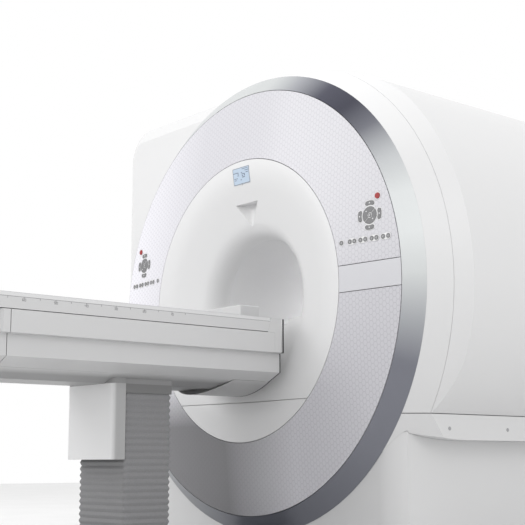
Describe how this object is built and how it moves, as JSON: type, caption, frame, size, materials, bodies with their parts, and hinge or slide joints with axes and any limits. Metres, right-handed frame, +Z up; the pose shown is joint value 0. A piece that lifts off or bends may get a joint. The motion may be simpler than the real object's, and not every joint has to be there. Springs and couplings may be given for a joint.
{
  "type": "mri scanner",
  "caption": "Closed-bore magnetic resonance scanner: drum-shaped gantry with a patterned front ring and flared bore, and a lifting table whose board slides into it.",
  "frame": {"origin": "on the floor under the isocentre, at the centre of the four anchor holes", "axes": "+Y into the bore from the table side, +Z up, +X to the right seen from the table side"},
  "size_m": [2.4528, 4.16, 2.198],
  "materials": {
    "white_cover": "smooth satin moulded cover",
    "patterned_ring": "satin, fine hexagon print",
    "band_panel": "satin, bare",
    "bezel_blue": "metallic silver blue",
    "display_glass": "lit display behind a clear window",
    "steel_frame": "grey paint",
    "magnet_steel": "brushed vessel",
    "coil_resin": "cast resin",
    "panel_plastic": "satin",
    "table_cover": "smooth satin moulded cover",
    "board_composite": "smooth laminate",
    "glide_plastic": "low-friction plastic",
    "lift_steel": "ground steel",
    "bellows_grey": "matt pleated sleeve",
    "stop_red": "glossy red",
    "key_grey": "satin grey with pale outline"
  },
  "bodies": {
    "gantry": {"collar_cover": "white_cover", "body_cover": "white_cover", "side_skirt_right": "white_cover", "side_skirt_left": "white_cover", "plinth_right": "white_cover", "plinth_left": "white_cover", "left_housing": "white_cover", "rear_cover": "white_cover", "bezel_ring": "bezel_blue", "cover_frame": "steel_frame", "ring_panel": "patterned_ring", "nameplate_panel": "band_panel", "funnel_cover": "white_cover", "funnel_lower_cover": "white_cover", "display_screen": "display_glass", "bore_deck": "white_cover", "rear_funnel": "white_cover", "control_unit_right": "panel_plastic", "control_unit_left": "panel_plastic", "magnet_vessel": "magnet_steel", "gradient_coil": "coil_resin", "body_coil": "coil_resin", "bore_liner": "white_cover", "base_frame": "steel_frame", "floor_feet": "steel_frame", "table_base_plate": "steel_frame", "table_column": "steel_frame", "lift_actuator": "steel_frame", "table_bellows": "bellows_grey"},
    "table": {"lift_rod": "lift_steel", "pedestal_cover": "white_cover", "table_frame": "steel_frame", "side_cover_right": "table_cover", "side_cover_left": "table_cover", "ruler_rail_right": "table_cover", "ruler_rail_left": "table_cover", "belly_cover": "table_cover", "belly_cover_head": "table_cover", "head_end_cap": "table_cover", "foot_end_cap": "table_cover", "glide_strips": "glide_plastic", "slide_motor": "steel_frame"},
    "board": {"tabletop": "board_composite", "coil_socket": "table_cover"},
    "stop_button_right": {"stop_button_right": "stop_red"},
    "stop_button_left": {"stop_button_left": "stop_red"},
    "centre_key_right": {"centre_key_right": "key_grey"},
    "centre_key_left": {"centre_key_left": "key_grey"},
    "disc_key_upper_right": {"disc_key_upper_right": "key_grey"},
    "disc_key_upper_left": {"disc_key_upper_left": "key_grey"},
    "disc_key_lower_right": {"disc_key_lower_right": "key_grey"},
    "disc_key_lower_left": {"disc_key_lower_left": "key_grey"},
    "arc_key_up_right": {"arc_key_up_right": "key_grey"},
    "arc_key_up_left": {"arc_key_up_left": "key_grey"},
    "arc_key_left_right": {"arc_key_left_right": "key_grey"},
    "arc_key_left_left": {"arc_key_left_left": "key_grey"},
    "arc_key_down_right": {"arc_key_down_right": "key_grey"},
    "arc_key_down_left": {"arc_key_down_left": "key_grey"},
    "arc_key_right_right": {"arc_key_right_right": "key_grey"},
    "arc_key_right_left": {"arc_key_right_left": "key_grey"}
  },
  "joints": [
    {"name": "table_lift", "type": "slide", "parent": "gantry", "child": "table", "axis": [0, 0, 1], "range_m": [-0.34, 0], "deforming": ["table_bellows"]},
    {"name": "tabletop_slide", "type": "slide", "parent": "table", "child": "board", "axis": [0, 1, 0], "range_m": [0, 1.5]},
    {"name": "stop_button_right_press", "type": "slide", "parent": "gantry", "child": "stop_button_right", "axis": [0.101, -0.9944, 0.0326], "range_m": [-0.003, 0], "stiffness_N_per_m": 900, "springref_m": 0.004},
    {"name": "stop_button_left_press", "type": "slide", "parent": "gantry", "child": "stop_button_left", "axis": [-0.101, -0.9944, 0.0326], "range_m": [-0.003, 0], "stiffness_N_per_m": 900, "springref_m": 0.004},
    {"name": "centre_key_right_press", "type": "slide", "parent": "gantry", "child": "centre_key_right", "axis": [0.101, -0.9944, 0.0326], "range_m": [-0.0015, 0], "stiffness_N_per_m": 600, "springref_m": 0.003},
    {"name": "centre_key_left_press", "type": "slide", "parent": "gantry", "child": "centre_key_left", "axis": [-0.101, -0.9944, 0.0326], "range_m": [-0.0015, 0], "stiffness_N_per_m": 600, "springref_m": 0.003},
    {"name": "disc_key_upper_right_press", "type": "slide", "parent": "gantry", "child": "disc_key_upper_right", "axis": [0.101, -0.9944, 0.0326], "range_m": [-0.0015, 0], "stiffness_N_per_m": 600, "springref_m": 0.003},
    {"name": "disc_key_upper_left_press", "type": "slide", "parent": "gantry", "child": "disc_key_upper_left", "axis": [-0.101, -0.9944, 0.0326], "range_m": [-0.0015, 0], "stiffness_N_per_m": 600, "springref_m": 0.003},
    {"name": "disc_key_lower_right_press", "type": "slide", "parent": "gantry", "child": "disc_key_lower_right", "axis": [0.101, -0.9944, 0.0326], "range_m": [-0.0015, 0], "stiffness_N_per_m": 600, "springref_m": 0.003},
    {"name": "disc_key_lower_left_press", "type": "slide", "parent": "gantry", "child": "disc_key_lower_left", "axis": [-0.101, -0.9944, 0.0326], "range_m": [-0.0015, 0], "stiffness_N_per_m": 600, "springref_m": 0.003},
    {"name": "arc_key_up_right_press", "type": "slide", "parent": "gantry", "child": "arc_key_up_right", "axis": [0.101, -0.9944, 0.0326], "range_m": [-0.0015, 0], "stiffness_N_per_m": 600, "springref_m": 0.003},
    {"name": "arc_key_up_left_press", "type": "slide", "parent": "gantry", "child": "arc_key_up_left", "axis": [-0.101, -0.9944, 0.0326], "range_m": [-0.0015, 0], "stiffness_N_per_m": 600, "springref_m": 0.003},
    {"name": "arc_key_left_right_press", "type": "slide", "parent": "gantry", "child": "arc_key_left_right", "axis": [0.101, -0.9944, 0.0326], "range_m": [-0.0015, 0], "stiffness_N_per_m": 600, "springref_m": 0.003},
    {"name": "arc_key_left_left_press", "type": "slide", "parent": "gantry", "child": "arc_key_left_left", "axis": [-0.101, -0.9944, 0.0326], "range_m": [-0.0015, 0], "stiffness_N_per_m": 600, "springref_m": 0.003},
    {"name": "arc_key_down_right_press", "type": "slide", "parent": "gantry", "child": "arc_key_down_right", "axis": [0.101, -0.9944, 0.0326], "range_m": [-0.0015, 0], "stiffness_N_per_m": 600, "springref_m": 0.003},
    {"name": "arc_key_down_left_press", "type": "slide", "parent": "gantry", "child": "arc_key_down_left", "axis": [-0.101, -0.9944, 0.0326], "range_m": [-0.0015, 0], "stiffness_N_per_m": 600, "springref_m": 0.003},
    {"name": "arc_key_right_right_press", "type": "slide", "parent": "gantry", "child": "arc_key_right_right", "axis": [0.101, -0.9944, 0.0326], "range_m": [-0.0015, 0], "stiffness_N_per_m": 600, "springref_m": 0.003},
    {"name": "arc_key_right_left_press", "type": "slide", "parent": "gantry", "child": "arc_key_right_left", "axis": [-0.101, -0.9944, 0.0326], "range_m": [-0.0015, 0], "stiffness_N_per_m": 600, "springref_m": 0.003}
  ]
}
